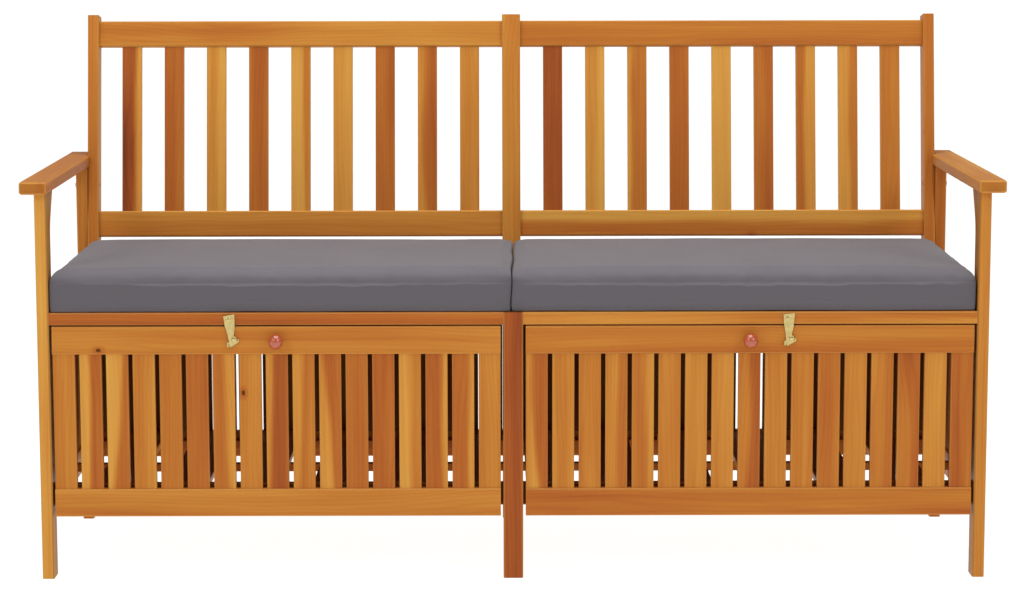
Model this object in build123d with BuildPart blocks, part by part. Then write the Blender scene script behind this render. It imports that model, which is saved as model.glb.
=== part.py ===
from build123d import *
import os
from math import cos, pi, radians, sin, sqrt, tan

os.makedirs("parts", exist_ok=True)

# Garden storage bench: two cushioned bays with a leaning slatted back and flat armrests,
# over two slatted lockers with drop-front doors. The front looks along -Y, +Z is up, and
# the origin is on the floor under the middle of the bench. All sizes are in millimetres.

# Overall sizes
overall_width = 1480.0  # over the armrests
overall_depth = 570.0  # from the door knobs to the rear ends of the armrests
overall_height = 840.0  # top of the back posts
arm_height = 610.0
seat_height = 410.0  # top of the seat boards, under the cushions

# Timber sections
board = 18.0  # thickness of legs, rails, doors and side posts
plank = 19.0  # thickness of armrests, seat boards and seat front rails
slat_thickness = 12.0
middle_width = 30.0  # middle legs and middle back post
front_leg_depth = 40.0
rear_leg_depth = 38.0
rail_height = 43.0  # rails of the locker's sides and rear
edge_ease = 2.0  # bevel of legs, posts and rails along their edges
slat_ease = 1.2  # bevel of the slats' front edges
facets = 12  # sides of bolts, screw heads, knuckles and the holes in the timber

# Stub tenons at the ends of every slat
tenon_length = 8.0
tenon_shoulder = 4.0
tenon_gap = 0.1

# Armrests and the flare of the front legs beneath them
arm_width = 42.0
arm_side_overhang = 20.0
arm_front_overhang = 17.0
arm_rear_overhang = 58.0
arm_corner = 6.0
arm_ease = 2.5
flare_depth = 72.0
flare_height = 52.0
flare_radius = 60.0

# Leaning back
back_lean = 9.5  # degrees from upright
back_clear = 0.85  # posts ahead of the locker's rear, under the seat boards
post_depth = 38.0
post_gap = 0.5  # round the posts, at the armrests' notches and the rear seat boards
post_foot = 65.0  # side posts run this far below the seat, beside the rear legs
middle_foot = 90.0  # the middle post's foot, in front of the middle rear leg
post_ear = 9.5  # posts stand this far above the top rail
back_rail_height = 42.5
back_rail_setback = 8.0
back_rail_lift = 68.4  # bottom rail above the seat, along the lean
back_slat_count = 9
back_slat_gap = 38.1

# Seat
seat_slat_count = 7
seat_slat_gap = 10.0
seat_end_gap = 8.0  # from the front rail and from the back posts
seat_rail_depth = 38.0

# Lockers
lower_rail_bottom = 102.0
front_rail_bottom = 109.0
front_rail_height = 34.0
side_slat_count = 10
side_slat_gap = 7.36
rear_slat_count = 17
rear_slat_gap = 4.5
rear_end_gap = 0.5
floor_slat_count = 6
floor_slat_gap = 50.0
floor_middle_gap = 5.0  # first floor slat from the middle legs' sides
floor_side_gap = 60.0  # last floor slat from the side legs
floor_end_gap = 0.5
bearer_depth = 18.0
bearer_height = 12.0

# Doors
door_setback = 2.0  # door face behind the front legs' faces
door_side_gap = 4.0
door_top_gap = 2.0
door_bottom = 96.5
door_rail_height = 42.5
door_slat_count = 17
door_slat_gap = 7.0

# Door knobs
knob_projection = 25.0
knob_radius = 11.5
knob_neck_radius = 6.5
knob_sides = 24

# Door hinges
hinge_gap = 5.0  # between the door and the front lower rail
hinge_drop = 1.0  # pin axis below the front lower rail's underside
hinge_spread = 220.0  # each hinge from the door's middle
hinge_length = 60.0
hinge_leaf_height = 28.0
hinge_leaf_thickness = 1.2
hinge_leaf_air = 0.5  # plate clear of the other leaf's knuckles
knuckle_radius = 2.0
knuckle_end_gap = 0.3
pin_radius = 1.0
pin_clearance = 0.05

# Hook latches, pivoted on the doors; a groove behind each one drops over a peg in the seat front rail
latch_offset = 63.0  # pivot outwards from the door knob
latch_drop = 19.0  # pivot below the door's top edge
latch_reach = 31.3  # pivot to peg
latch_peg_angle = 11.3  # peg off the hook's own long axis, in degrees
latch_tilts = {"left": 5.6, "right": 0.0}  # how far each hook leans to the left, in degrees
latch_outline = [  # plate round the pivot, across and up from it: tapered, with a hooked lower end
    (-13.0, 36.8),
    (4.2, 38.0),
    (2.6, 19.0),
    (-0.3, 5.0),
    (0.0, 0.0),
    (4.6, -3.2),
    (4.9, 0.2),
    (6.7, 0.2),
    (6.3, -4.6),
    (-7.0, -12.0),
    (-8.6, -3.0),
    (-9.8, 9.0),
    (-12.4, 23.0),
]
latch_corner = 0.5
latch_ear = 3.7  # plate's radius round the pivot
latch_thickness = 2.4
latch_air = 0.5  # hook clear of the door's face
tab_low = (-11.6, -10.6)  # thumb tab, turned forward at the plate's lower edge
tab_high = (-8.0, -3.2)
tab_thickness = 1.8
tab_projection = 3.6
boss_radius = 3.4  # raised over the peg
boss_height = 0.9
throat_depth = 1.5
throat_gap = 0.7
throat_slope = 18.0  # the groove follows the peg's path about the pivot
throat_length = 16.0
peg_radius = 2.5
peg_projection = 1.7
peg_embed = 12.0
screw_radius = 2.0
screw_head_radius = 4.4
screw_head_height = 2.6
head_bevel = 1.2  # bevel round the heads of screws, doubled on bolts

# Bolts through the legs
bolt_radius = 3.5
bolt_clearance = 0.1
bolt_head_radius = 6.5
bolt_head_height = 4.0
bolt_length = 34.0
seat_bolt_drop = 10.0  # lower post bolt below the seat
arm_bolt_drop = 31.0  # upper post bolt below the armrest
rail_bolt_lift = 8.0  # bolt above the front lower rail's underside

# Cushions
cushion_side_gap = 2.0
cushion_middle_gap = 1.5
cushion_front_inset = 4.0  # behind the front legs' faces
cushion_back_gap = 5.0
cushion_lift = 0.2
cushion_edge = 62.0  # thickness at the edges
cushion_crown = 5.0
crown_at_ends = 0.4  # share of the crown that is left at the ends
cushion_bulge = 4.5  # swell of the side walls
cushion_shoulder = 14.0  # rounding between the walls and the top
cushion_draw = 4.0  # sides pulled in between the corners
cushion_front_corner = 20.0
cushion_rear_corner = 42.0
cushion_roll = 12.0  # rounding of the top and bottom towards the ends

# Places across the bench
leg_outer = overall_width / 2 - arm_side_overhang
leg_inner = leg_outer - board
post_inner = leg_inner - board
middle_half = middle_width / 2
bay_middle = (leg_inner + middle_half) / 2
arm_outer = overall_width / 2
arm_inner = arm_outer - arm_width

# Places from front to rear
door_face = -overall_depth / 2 + knob_projection
door_rear = door_face + board
front_leg_face = door_face - door_setback
front_leg_rear = front_leg_face + front_leg_depth
front_rail_face = door_rear + hinge_gap
front_rail_rear = front_rail_face + board
arm_front = front_leg_face - arm_front_overhang
arm_rear = overall_depth / 2
rear_leg_rear = arm_rear - arm_rear_overhang
rear_leg_face = rear_leg_rear - rear_leg_depth
rear_panel_face = rear_leg_rear - board
seat_rail_rear = door_face + seat_rail_depth

# Heights
arm_underside = arm_height - plank
seat_underside = seat_height - plank
seat_rail_bottom = seat_underside - rail_height
lower_rail_top = lower_rail_bottom + rail_height
floor_top = front_rail_bottom + front_rail_height
floor_underside = floor_top - slat_thickness
door_top = seat_underside - door_top_gap
knob_height = door_top - door_rail_height / 2
hinge_y = door_rear + hinge_gap / 2
hinge_z = front_rail_bottom - hinge_drop

# The back's plane: its origin is on the posts' front faces at seat height
lean = radians(back_lean)
back_face = rear_panel_face - back_clear - post_depth / cos(lean) + plank * tan(lean)
back_plane = Plane(
    origin=(0, back_face, seat_height), x_dir=(1, 0, 0), z_dir=(0, -cos(lean), sin(lean))
)
back_top = (overall_height - seat_height) / cos(lean)


def back_face_at(height):
    return back_face + (height - seat_height) * tan(lean)


def spread(low, high, count, gap):
    # Middles and width of equal slats that fill a span, with equal gaps between them
    pitch = (high - low + gap) / count
    width = pitch - gap
    return [low + width / 2 + i * pitch for i in range(count)], width


def save(piece, name):
    piece.part.label = name
    export_step(piece.part, f"parts/{name}.step")


def save_pair(right, name):
    # The bench is symmetric, so the left piece mirrors the right one
    save(right, f"right_{name}")
    with BuildPart() as left:
        add(mirror(right.part, about=Plane.YZ, mode=Mode.PRIVATE))
    save(left, f"left_{name}")


def timber(low, high):
    # A board between two opposite corners, for use inside a part
    with Locations(tuple((a + b) / 2 for a, b in zip(low, high))):
        Box(*(b - a for a, b in zip(low, high)))


def slatted_panel(plane, span, height, rail, count, gap, end_gap):
    # Two rails joined by slats whose stub tenons sit in mortises; plane is the rails' front face
    left, right = span
    bottom, top = height
    slat_middles, slat_width = spread(left + end_gap, right - end_gap, count, gap)
    inset = (board - slat_thickness) / 2
    tenon_width = slat_width - 2 * tenon_shoulder
    rails = []
    for low, edge in ((bottom, bottom + rail), (top - rail, top - rail)):
        with BuildPart() as panel_rail:
            with BuildSketch(plane):
                with Locations(((left + right) / 2, low + rail / 2)):
                    Rectangle(right - left, rail)
            extrude(amount=-board)
            chamfer(panel_rail.edges().group_by(SortBy.LENGTH)[-1], length=edge_ease)
            with BuildSketch(plane.offset(tenon_gap - inset)):
                with Locations(*[(middle, edge) for middle in slat_middles]):
                    Rectangle(tenon_width + 2 * tenon_gap, 2 * (tenon_length + tenon_gap))
            extrude(amount=-(slat_thickness + 2 * tenon_gap), mode=Mode.SUBTRACT)
        rails.append(panel_rail)
    shown = top - bottom - 2 * rail
    with BuildPart() as slats:
        with BuildSketch(plane.offset(-inset)):
            with Locations(*[(middle, (bottom + top) / 2) for middle in slat_middles]):
                Rectangle(slat_width, shown)
                Rectangle(tenon_width, shown + 2 * tenon_length)
        extrude(amount=-slat_thickness)
        long_edges = slats.edges().group_by(SortBy.LENGTH)[-1]
        chamfer(long_edges.group_by(Axis(plane.origin, plane.z_dir))[-1], length=slat_ease)
    return rails[0], rails[1], slats


# Bolt places on the outer face of each pair of side legs, as (depth, height)
seat_bolt = seat_height - seat_bolt_drop
arm_bolt = arm_underside - arm_bolt_drop
post_bolts = [
    ((rear_leg_face + back_face_at(seat_bolt) + post_depth) / 2, seat_bolt),
    ((back_face_at(arm_bolt) + rear_leg_rear) / 2, arm_bolt),
]
rail_bolts = [((front_rail_face + front_leg_rear) / 2, front_rail_bottom + rail_bolt_lift)]


# Front side legs: straight below, flared back under the armrest
with BuildPart() as front_leg:
    with BuildSketch(Plane.YZ.offset(leg_inner)) as leg_profile:
        with BuildLine():
            Polyline(
                (front_leg_face, 0),
                (front_leg_face, arm_underside),
                (front_leg_face + flare_depth, arm_underside),
                (front_leg_rear, arm_underside - flare_height),
                (front_leg_rear, 0),
                close=True,
            )
        make_face()
        flare_start = (front_leg_rear, arm_underside - flare_height, 0)
        fillet(leg_profile.vertices().sort_by_distance(flare_start)[0], radius=flare_radius)
    extrude(amount=board)
    chamfer(front_leg.edges().filter_by(Axis.Z), length=edge_ease)
    with BuildSketch(Plane.YZ.offset(leg_inner)):
        with Locations(*rail_bolts):
            RegularPolygon(bolt_radius + bolt_clearance, facets)
    extrude(amount=board, mode=Mode.SUBTRACT)
save_pair(front_leg, "front_leg")

# Rear side legs, drilled for the post bolts
with BuildPart() as rear_leg:
    timber((leg_inner, rear_leg_face, 0), (leg_outer, rear_leg_rear, arm_underside))
    chamfer(rear_leg.edges().filter_by(Axis.Z), length=edge_ease)
    with BuildSketch(Plane.YZ.offset(leg_inner)):
        with Locations(*post_bolts):
            RegularPolygon(bolt_radius + bolt_clearance, facets)
    extrude(amount=board, mode=Mode.SUBTRACT)
save_pair(rear_leg, "rear_leg")

# Middle legs: the front one ends at the seat, the rear one carries the middle back post
with BuildPart() as middle_front_leg:
    timber((-middle_half, front_leg_face, 0), (middle_half, front_leg_rear, seat_height))
    chamfer(middle_front_leg.edges().filter_by(Axis.Z), length=edge_ease)
save(middle_front_leg, "middle_front_leg")

with BuildPart() as middle_rear_leg:
    timber((-middle_half, rear_leg_face, 0), (middle_half, rear_leg_rear, seat_underside))
    chamfer(middle_rear_leg.edges().filter_by(Axis.Z), length=edge_ease)
save(middle_rear_leg, "middle_rear_leg")

# Armrests, notched at the rear inner edge round the back posts
with BuildPart() as armrest:
    with BuildSketch(Plane.XY.offset(arm_underside)) as arm_plan:
        with BuildLine():
            Polyline(
                (arm_inner, arm_front),
                (arm_outer, arm_front),
                (arm_outer, arm_rear),
                (leg_inner + post_gap, arm_rear),
                (leg_inner + post_gap, back_face_at(arm_underside) - post_gap),
                (arm_inner, back_face_at(arm_underside) - post_gap),
                close=True,
            )
        make_face()
        fillet(arm_plan.vertices().group_by(Axis.Y)[0], radius=arm_corner)
    extrude(amount=plank)
    chamfer(armrest.faces().filter_by(Axis.Z).edges(), length=arm_ease)
save_pair(armrest, "armrest")

# Locker sides: a seat rail and a lower rail between the legs, joined by upright slats
side_lower_rail, side_seat_rail, side_slats = slatted_panel(
    Plane.YZ.offset(leg_outer),
    (front_leg_rear, rear_leg_face),
    (lower_rail_bottom, seat_underside),
    rail_height,
    side_slat_count,
    side_slat_gap,
    side_slat_gap,
)
save_pair(side_lower_rail, "side_lower_rail")
save_pair(side_seat_rail, "side_seat_rail")
save_pair(side_slats, "side_slats")

# Locker rear: a slatted panel in each bay between the rear legs
rear_bottom_rail, rear_top_rail, rear_slats = slatted_panel(
    Plane.XZ.offset(-rear_panel_face),
    (middle_half, leg_inner),
    (lower_rail_bottom, seat_underside),
    rail_height,
    rear_slat_count,
    rear_slat_gap,
    rear_end_gap,
)
save_pair(rear_bottom_rail, "rear_bottom_rail")
save_pair(rear_top_rail, "rear_top_rail")
save_pair(rear_slats, "rear_slats")

# Front lower rails, behind the doors
with BuildPart() as front_lower_rail:
    timber((middle_half, front_rail_face, front_rail_bottom), (leg_inner, front_rail_rear, floor_top))
    chamfer(front_lower_rail.edges().filter_by(Axis.X), length=edge_ease)
    with BuildSketch(Plane.YZ.offset(leg_inner)):
        with Locations(*rail_bolts):
            RegularPolygon(bolt_radius + bolt_clearance, facets)
    extrude(amount=board - bolt_length, mode=Mode.SUBTRACT)
save_pair(front_lower_rail, "front_lower_rail")

# Middle bearers: the upper one carries the seat boards and meets the leaning middle post
with BuildPart() as middle_seat_bearer:
    with BuildSketch(Plane.YZ.offset(-board / 2)):
        with BuildLine():
            Polyline(
                (front_leg_rear, seat_rail_bottom),
                (front_leg_rear, seat_underside),
                (back_face_at(seat_underside), seat_underside),
                (back_face_at(seat_rail_bottom), seat_rail_bottom),
                close=True,
            )
        make_face()
    extrude(amount=board)
save(middle_seat_bearer, "middle_seat_bearer")

with BuildPart() as middle_lower_bearer:
    timber(
        (-board / 2, front_leg_rear, lower_rail_bottom), (board / 2, rear_leg_face, lower_rail_top)
    )
    chamfer(middle_lower_bearer.edges().filter_by(Axis.Y), length=edge_ease)
save(middle_lower_bearer, "middle_lower_bearer")

# Seat boards from side to side, and one in each bay between the posts, on the locker's rear
seat_start = seat_rail_rear + seat_end_gap
seat_end = back_face_at(seat_underside) - seat_end_gap
seat_middles, seat_slat_width = spread(seat_start, seat_end, seat_slat_count, seat_slat_gap)
with BuildPart() as seat_slats:
    with BuildSketch(Plane.XY.offset(seat_underside)):
        with Locations(*[(0, middle) for middle in seat_middles]):
            Rectangle(2 * leg_outer, seat_slat_width)
        for sign in (-1, 1):
            with Locations((sign * (middle_half + post_inner) / 2, rear_leg_rear)):
                Rectangle(
                    post_inner - middle_half - 2 * post_gap,
                    seat_slat_width,
                    align=(Align.CENTER, Align.MAX),
                )
    extrude(amount=plank)
    chamfer(seat_slats.edges().filter_by(Axis.X), length=slat_ease)
save(seat_slats, "seat_slats")

# Floor slats run from front to rear on three bearers in each bay
floor_start = middle_half + floor_middle_gap
floor_end = leg_inner - floor_side_gap
floor_middles, floor_slat_width = spread(floor_start, floor_end, floor_slat_count, floor_slat_gap)
floor_front = front_rail_rear + floor_end_gap
floor_rear = rear_panel_face - floor_end_gap
with BuildPart() as floor_slats:
    with BuildSketch(Plane.XY.offset(floor_underside)):
        with Locations(*[(middle, (floor_front + floor_rear) / 2) for middle in floor_middles]):
            Rectangle(floor_slat_width, floor_rear - floor_front)
    extrude(amount=slat_thickness)
    chamfer(floor_slats.edges().filter_by(Axis.Y), length=slat_ease)
save_pair(floor_slats, "floor_slats")

bearer_bottom = floor_underside - bearer_height
bearer_middle = (front_rail_rear + rear_panel_face) / 2
with BuildPart() as floor_bearers:
    for start, front in (
        (board / 2, front_rail_rear),
        (board / 2, bearer_middle - bearer_depth / 2),
        (middle_half, rear_panel_face - bearer_depth),
    ):
        timber((start, front, bearer_bottom), (leg_inner, front + bearer_depth, floor_underside))
    mirror(about=Plane.YZ)
save(floor_bearers, "floor_bearers")

# Back posts: the side posts stand against the inner faces of the rear legs
with BuildPart() as back_post:
    with BuildSketch(back_plane):
        with Locations(((post_inner + leg_inner) / 2, (back_top - post_foot) / 2)):
            Rectangle(board, back_top + post_foot)
    extrude(amount=-post_depth)
    chamfer(back_post.edges().group_by(SortBy.LENGTH)[-1], length=edge_ease)
    with BuildSketch(Plane.YZ.offset(post_inner)):
        with Locations(*post_bolts):
            RegularPolygon(bolt_radius + bolt_clearance, facets)
    extrude(amount=board, mode=Mode.SUBTRACT)
save_pair(back_post, "back_post")

# The middle post sits with a birdsmouth on the middle rear leg, its foot in front of the leg
with BuildPart() as middle_back_post:
    with BuildSketch(back_plane):
        with Locations((0, (back_top - middle_foot) / 2)):
            Rectangle(middle_width, back_top + middle_foot)
    extrude(amount=-post_depth)
    chamfer(middle_back_post.edges().group_by(SortBy.LENGTH)[-1], length=edge_ease)
    with BuildSketch(Plane.XZ.offset(-rear_leg_face)):
        Rectangle(2 * middle_width, seat_underside, align=(Align.CENTER, Align.MIN))
    extrude(amount=-2 * post_depth, mode=Mode.SUBTRACT)
save(middle_back_post, "middle_back_post")

# Back panels between the posts
back_bottom_rail, back_top_rail, back_slats = slatted_panel(
    back_plane.offset(-back_rail_setback),
    (middle_half, post_inner),
    (back_rail_lift, back_top - post_ear),
    back_rail_height,
    back_slat_count,
    back_slat_gap,
    back_slat_gap,
)
save_pair(back_bottom_rail, "back_bottom_rail")
save_pair(back_top_rail, "back_top_rail")
save_pair(back_slats, "back_slats")

# Drop-front doors: slats end to end between two rails
door_bottom_rail, door_top_rail, door_slats = slatted_panel(
    Plane.XZ.offset(-door_face),
    (middle_half + door_side_gap, leg_inner - door_side_gap),
    (door_bottom, door_top),
    door_rail_height,
    door_slat_count,
    door_slat_gap,
    0,
)
save_pair(door_bottom_rail, "door_bottom_rail")
save_pair(door_slats, "door_slats")

# Ball knobs on short necks: a drum whose rims are cut back twice to a sixteen-sided section
eighth_side = knob_radius * tan(pi / 8)
sixteenth_side = knob_radius * tan(pi / 16)
with BuildPart() as door_knob:
    with BuildSketch(Plane.XZ.offset(knob_projection - door_face)):
        with Locations((bay_middle, knob_height)):
            RegularPolygon(knob_radius, knob_sides, major_radius=False)
    extrude(amount=-2 * knob_radius)
    for cut in (knob_radius - eighth_side, eighth_side - sixteenth_side):
        chamfer(door_knob.edges().filter_by(lambda edge: abs(edge.tangent_at(0).Y) < 0.001), length=cut)
    with BuildSketch(Plane.XZ.offset(-door_face)):
        with Locations((bay_middle, knob_height)):
            RegularPolygon(knob_neck_radius, knob_sides)
    extrude(amount=knob_projection - knob_radius)
save_pair(door_knob, "door_knob")

# Hinges with one knuckle on the door's leaf, one on the rail's leaf and a pin through both
hinge_xs = (bay_middle - hinge_spread, bay_middle + hinge_spread)
leaf_foot = hinge_z + knuckle_radius + hinge_leaf_air
leaf_top = hinge_z + hinge_leaf_height
half_hinge = hinge_length / 2
knuckle_length = half_hinge - knuckle_end_gap / 2


def hinge_leaves(near, knuckle_offset):
    # Plates from depth near backwards, each with a knuckle that starts at an offset from its middle
    deep = near + hinge_leaf_thickness
    with BuildPart() as leaves:
        for x in hinge_xs:
            timber((x - half_hinge, near, leaf_foot), (x + half_hinge, deep, leaf_top))
            with BuildSketch(Plane.YZ.offset(x + knuckle_offset)):
                with Locations(((near + deep) / 2, hinge_z)):
                    Rectangle(deep - near, leaf_foot - hinge_z, align=(Align.CENTER, Align.MIN))
                with Locations((hinge_y, hinge_z)):
                    RegularPolygon(knuckle_radius, facets)
                    Circle(pin_radius + pin_clearance, mode=Mode.SUBTRACT)
            extrude(amount=knuckle_length)
    return leaves


save_pair(hinge_leaves(door_rear, -half_hinge), "door_hinge_leaves")

with BuildPart() as frame_hinge_leaves:
    add(hinge_leaves(front_rail_face - hinge_leaf_thickness, knuckle_end_gap / 2).part)
    mirror(about=Plane.YZ)
save(frame_hinge_leaves, "frame_hinge_leaves")

with BuildPart() as hinge_pins:
    for x in hinge_xs:
        with BuildSketch(Plane.YZ.offset(x - half_hinge)):
            with Locations((hinge_y, hinge_z)):
                RegularPolygon(pin_radius, facets)
        extrude(amount=hinge_length)
    mirror(about=Plane.YZ)
save(hinge_pins, "hinge_pins")

# Seat front rails, door top rails and the latches between them, one set for each bay
latch_rear = door_face - latch_air
latch_front = latch_rear - latch_thickness
pivot_z = door_top - latch_drop
pegs = {}
for side, sign in (("left", -1), ("right", 1)):
    pivot_x = sign * (bay_middle + latch_offset)
    peg_angle = radians(latch_peg_angle + latch_tilts[side])
    pegs[side] = (pivot_x - latch_reach * sin(peg_angle), pivot_z + latch_reach * cos(peg_angle))

    with BuildPart() as seat_front_rail:
        timber((middle_half, door_face, seat_underside), (leg_inner, seat_rail_rear, seat_height))
        chamfer(seat_front_rail.edges().filter_by(Axis.X), length=edge_ease)
        if sign < 0:
            mirror(about=Plane.YZ, mode=Mode.REPLACE)
        with BuildSketch(Plane.XZ.offset(-door_face)):
            with Locations(pegs[side]):
                RegularPolygon(peg_radius + tenon_gap, facets, major_radius=False)
        extrude(amount=-peg_embed, mode=Mode.SUBTRACT)
    save(seat_front_rail, f"{side}_seat_front_rail")

    with BuildPart() as top_rail:
        add(door_top_rail.part)
        if sign < 0:
            mirror(about=Plane.YZ, mode=Mode.REPLACE)
        with BuildSketch(Plane.XZ.offset(-door_face)):
            with Locations((pivot_x, pivot_z)):
                RegularPolygon(screw_radius + tenon_gap, facets, major_radius=False)
        extrude(amount=-peg_embed, mode=Mode.SUBTRACT)
    save(top_rail, f"{side}_door_top_rail")

    tilt = radians(latch_tilts[side])
    hook_plane = Plane(
        origin=(pivot_x, latch_rear, pivot_z), x_dir=(cos(tilt), 0, sin(tilt)), z_dir=(0, -1, 0)
    )
    peg_u = -latch_reach * sin(radians(latch_peg_angle))
    peg_v = latch_reach * cos(radians(latch_peg_angle))
    with BuildPart() as latch_hook:
        with BuildSketch(hook_plane) as hook_outline:
            with BuildLine():
                Polyline(*latch_outline, close=True)
            make_face()
            chamfer(hook_outline.vertices(), length=latch_corner)
            RegularPolygon(latch_ear, facets)
            with Locations(((tab_low[0] + tab_high[0]) / 2, (tab_low[1] + tab_high[1]) / 2)):
                Rectangle(tab_high[0] - tab_low[0], tab_high[1] - tab_low[1])
            Circle(screw_radius + pin_clearance, mode=Mode.SUBTRACT)
        extrude(amount=latch_thickness)
        with BuildSketch(hook_plane):
            with Locations((tab_low[0] + tab_thickness / 2, (tab_low[1] + tab_high[1]) / 2)):
                Rectangle(tab_thickness, tab_high[1] - tab_low[1])
        extrude(amount=latch_thickness + tab_projection)
        with BuildSketch(hook_plane):
            with Locations((peg_u, peg_v)):
                RegularPolygon(boss_radius, facets)
        extrude(amount=latch_thickness + boss_height)
        with BuildSketch(hook_plane):
            with Locations((peg_u, peg_v)):
                RegularPolygon(peg_radius + throat_gap, facets, major_radius=False, rotation=throat_slope)
                Rectangle(
                    throat_length,
                    2 * (peg_radius + throat_gap),
                    rotation=throat_slope,
                    align=(Align.MAX, Align.CENTER),
                )
        extrude(amount=throat_depth, mode=Mode.SUBTRACT)
    save(latch_hook, f"{side}_latch_hook")

    with BuildPart() as latch_screw:
        with BuildSketch(Plane.XZ.offset(-door_face - peg_embed + tenon_gap)):
            with Locations((pivot_x, pivot_z)):
                Circle(screw_radius)
        extrude(amount=peg_embed - tenon_gap + latch_air + latch_thickness + pin_clearance)
        with BuildSketch(Plane.XZ.offset(pin_clearance - latch_front)):
            with Locations((pivot_x, pivot_z)):
                RegularPolygon(screw_head_radius, facets)
        extrude(amount=screw_head_height)
        chamfer(latch_screw.faces().sort_by(Axis.Y)[0].edges(), length=head_bevel)
    save(latch_screw, f"{side}_latch_screw")

with BuildPart() as catch_pegs:
    with BuildSketch(Plane.XZ.offset(tenon_gap - door_face - peg_embed)):
        with Locations(*pegs.values()):
            Circle(peg_radius)
    extrude(amount=peg_embed - tenon_gap + peg_projection)
save(catch_pegs, "catch_pegs")

# Round-headed bolts through the side legs into the back posts and the front lower rails
with BuildPart() as leg_bolts:
    with BuildSketch(Plane.YZ.offset(leg_outer)):
        with Locations(*post_bolts, *rail_bolts):
            RegularPolygon(bolt_head_radius, facets)
    extrude(amount=bolt_head_height)
    chamfer(leg_bolts.faces().filter_by(Axis.X).group_by(Axis.X)[-1].edges(), length=2 * head_bevel)
    with BuildSketch(Plane.YZ.offset(leg_outer)):
        with Locations(*post_bolts, *rail_bolts):
            RegularPolygon(bolt_radius, facets)
    extrude(amount=-bolt_length + bolt_clearance)
    mirror(about=Plane.YZ)
save(leg_bolts, "leg_bolts")

# Loose seat cushions: crowned, with swelling walls that draw in between the corners
cushion_left = cushion_middle_gap
cushion_right = leg_inner - cushion_side_gap
cushion_width = cushion_right - cushion_left
cushion_front = front_leg_face + cushion_front_inset
cushion_rear = back_face_at(seat_height) - cushion_back_gap
cushion_floor = seat_height + cushion_lift


def rounded(distance, radius):
    # How far a rounded corner stands back at this distance from the cushion's end
    reach = min(distance, radius)
    return radius - sqrt(radius**2 - (radius - reach) ** 2)


with BuildPart() as cushion:
    ends = (0.0, cushion_roll / 3, cushion_roll, cushion_rear_corner)
    stations = [*ends, cushion_width / 4, cushion_width / 2]
    stations += [cushion_width - station for station in reversed(stations[:-1])]
    for station in stations:
        from_end = min(station, cushion_width - station)
        swell = sin(pi * station / cushion_width)
        pull = cushion_draw * swell
        front = cushion_front + pull + rounded(from_end, cushion_front_corner)
        rear = cushion_rear - pull - rounded(from_end, cushion_rear_corner)
        low = cushion_floor + rounded(from_end, cushion_roll) / 2
        high = cushion_floor + cushion_edge - rounded(from_end, cushion_roll)
        crown = high + cushion_crown * (crown_at_ends + (1 - crown_at_ends) * swell)
        shoulder = high - cushion_shoulder
        wall = (low + shoulder) / 2
        lift = cushion_shoulder * sin(pi / 4)
        with BuildSketch(Plane.YZ.offset(cushion_left + station)):
            with BuildLine():
                foot, inner = rear - cushion_bulge, rear - cushion_bulge - cushion_shoulder
                toe, outer = front + cushion_bulge, front + cushion_bulge + cushion_shoulder
                Line((toe, low), (foot, low))
                ThreePointArc((foot, low), (rear, wall), (foot, shoulder))
                ThreePointArc((foot, shoulder), (inner + lift, shoulder + lift), (inner, high))
                ThreePointArc((inner, high), ((front + rear) / 2, crown), (outer, high))
                ThreePointArc((outer, high), (outer - lift, shoulder + lift), (toe, shoulder))
                ThreePointArc((toe, shoulder), (front, wall), (toe, low))
            make_face()
    loft(ruled=True)
save_pair(cushion, "cushion")
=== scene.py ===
from math import cos, exp, pi, radians, sin, sqrt

import bpy
from mathutils import Matrix, Vector


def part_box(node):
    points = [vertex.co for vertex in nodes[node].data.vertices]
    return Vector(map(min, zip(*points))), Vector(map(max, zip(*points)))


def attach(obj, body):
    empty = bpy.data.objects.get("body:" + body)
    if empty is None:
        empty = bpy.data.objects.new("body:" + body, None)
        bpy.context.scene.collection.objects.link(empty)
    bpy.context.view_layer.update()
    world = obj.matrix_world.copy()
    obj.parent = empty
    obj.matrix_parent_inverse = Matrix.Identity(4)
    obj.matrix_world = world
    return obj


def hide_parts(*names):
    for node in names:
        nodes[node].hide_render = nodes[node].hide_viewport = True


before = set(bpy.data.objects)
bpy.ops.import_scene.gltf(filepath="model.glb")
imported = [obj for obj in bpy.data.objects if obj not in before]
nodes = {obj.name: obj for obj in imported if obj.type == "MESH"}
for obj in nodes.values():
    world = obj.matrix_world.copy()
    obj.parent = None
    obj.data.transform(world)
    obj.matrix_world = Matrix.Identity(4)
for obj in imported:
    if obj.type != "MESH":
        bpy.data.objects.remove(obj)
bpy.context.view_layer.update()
weld = 0.000001  # points closer than this are merged
print("frame loaded:", len(nodes), "nodes")


def deselectAll():
    bpy.ops.object.select_all(action="DESELECT")


def makeActive(piece):
    deselectAll()
    piece.select_set(True)
    bpy.context.view_layer.objects.active = piece


def enterEdit(piece):
    makeActive(piece)
    bpy.ops.object.mode_set(mode="EDIT")
    bpy.ops.mesh.select_all(action="SELECT")


def leaveEdit():
    bpy.ops.object.mode_set(mode="OBJECT")


def startPick(piece, kind):
    enterEdit(piece)
    bpy.ops.mesh.select_mode(type=kind)
    bpy.ops.mesh.select_all(action="DESELECT")
    leaveEdit()


def pick(piece, chosen):
    # selects vertices by their place and goes to edit mode
    startPick(piece, "VERT")
    for vertex in piece.data.vertices:
        vertex.select = chosen(vertex.co)
    bpy.ops.object.mode_set(mode="EDIT")


def roundEdges(piece, chosen, radius, segments):
    # bevels the edges whose middles are chosen
    startPick(piece, "EDGE")
    for edge in piece.data.edges:
        first, second = (piece.data.vertices[index].co for index in edge.vertices)
        edge.select = chosen((first + second) / 2)
    bpy.ops.object.mode_set(mode="EDIT")
    bpy.ops.mesh.bevel(offset=radius, offset_type="OFFSET", segments=segments, affect="EDGES")
    leaveEdit()


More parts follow.
